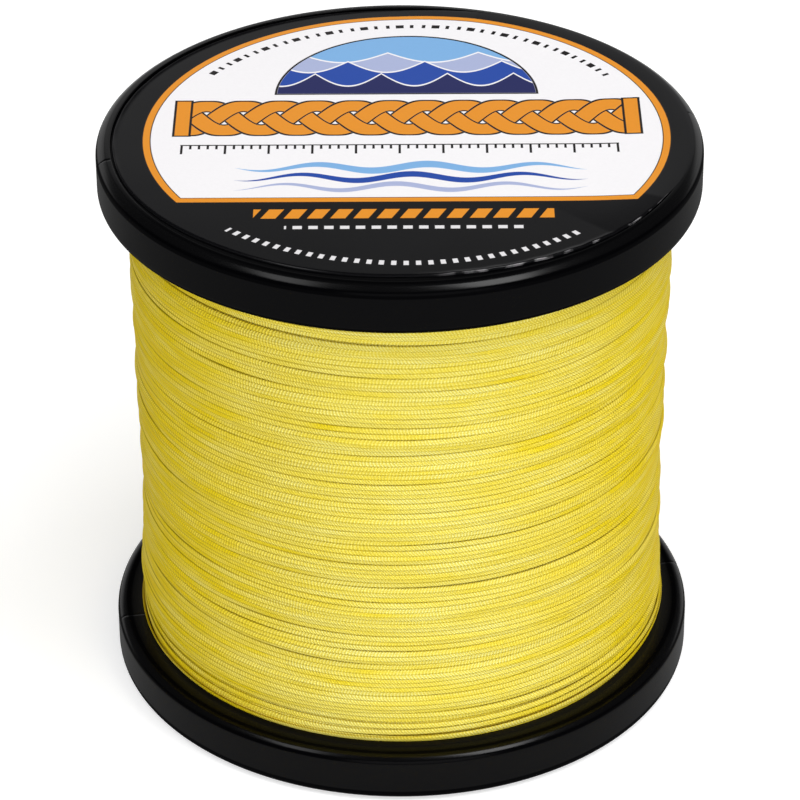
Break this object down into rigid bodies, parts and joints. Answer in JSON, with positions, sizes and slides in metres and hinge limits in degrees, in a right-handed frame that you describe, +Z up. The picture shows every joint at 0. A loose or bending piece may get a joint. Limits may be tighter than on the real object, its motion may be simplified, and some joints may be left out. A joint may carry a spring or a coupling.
{
  "type": "fishing line spool",
  "caption": "Bulk spool of braided fishing line: two thick plastic flanges on a hollow barrel, line wound almost to the rims, a printed label in each end and a spindle bore.",
  "frame": {"origin": "centre of the lower flange's rim face, on the surface that the spool stands on", "axes": "+Z up along the spool's axis, -Y towards the front of the label, +X to the right of the label"},
  "size_m": [0.084, 0.084, 0.0832],
  "materials": {
    "black_plastic": "satin",
    "label_film": "satin print",
    "braided_line": "tight braid",
    "clear_tape": "clear film"
  },
  "bodies": {
    "root": {"lower_flange": "black_plastic", "upper_flange": "black_plastic", "hub_barrel": "black_plastic", "top_label": "label_film", "bottom_label": "label_film", "line_core": "braided_line", "line_outer_turns": "braided_line", "start_tape": "clear_tape", "end_tape": "clear_tape"}
  },
  "joints": []
}
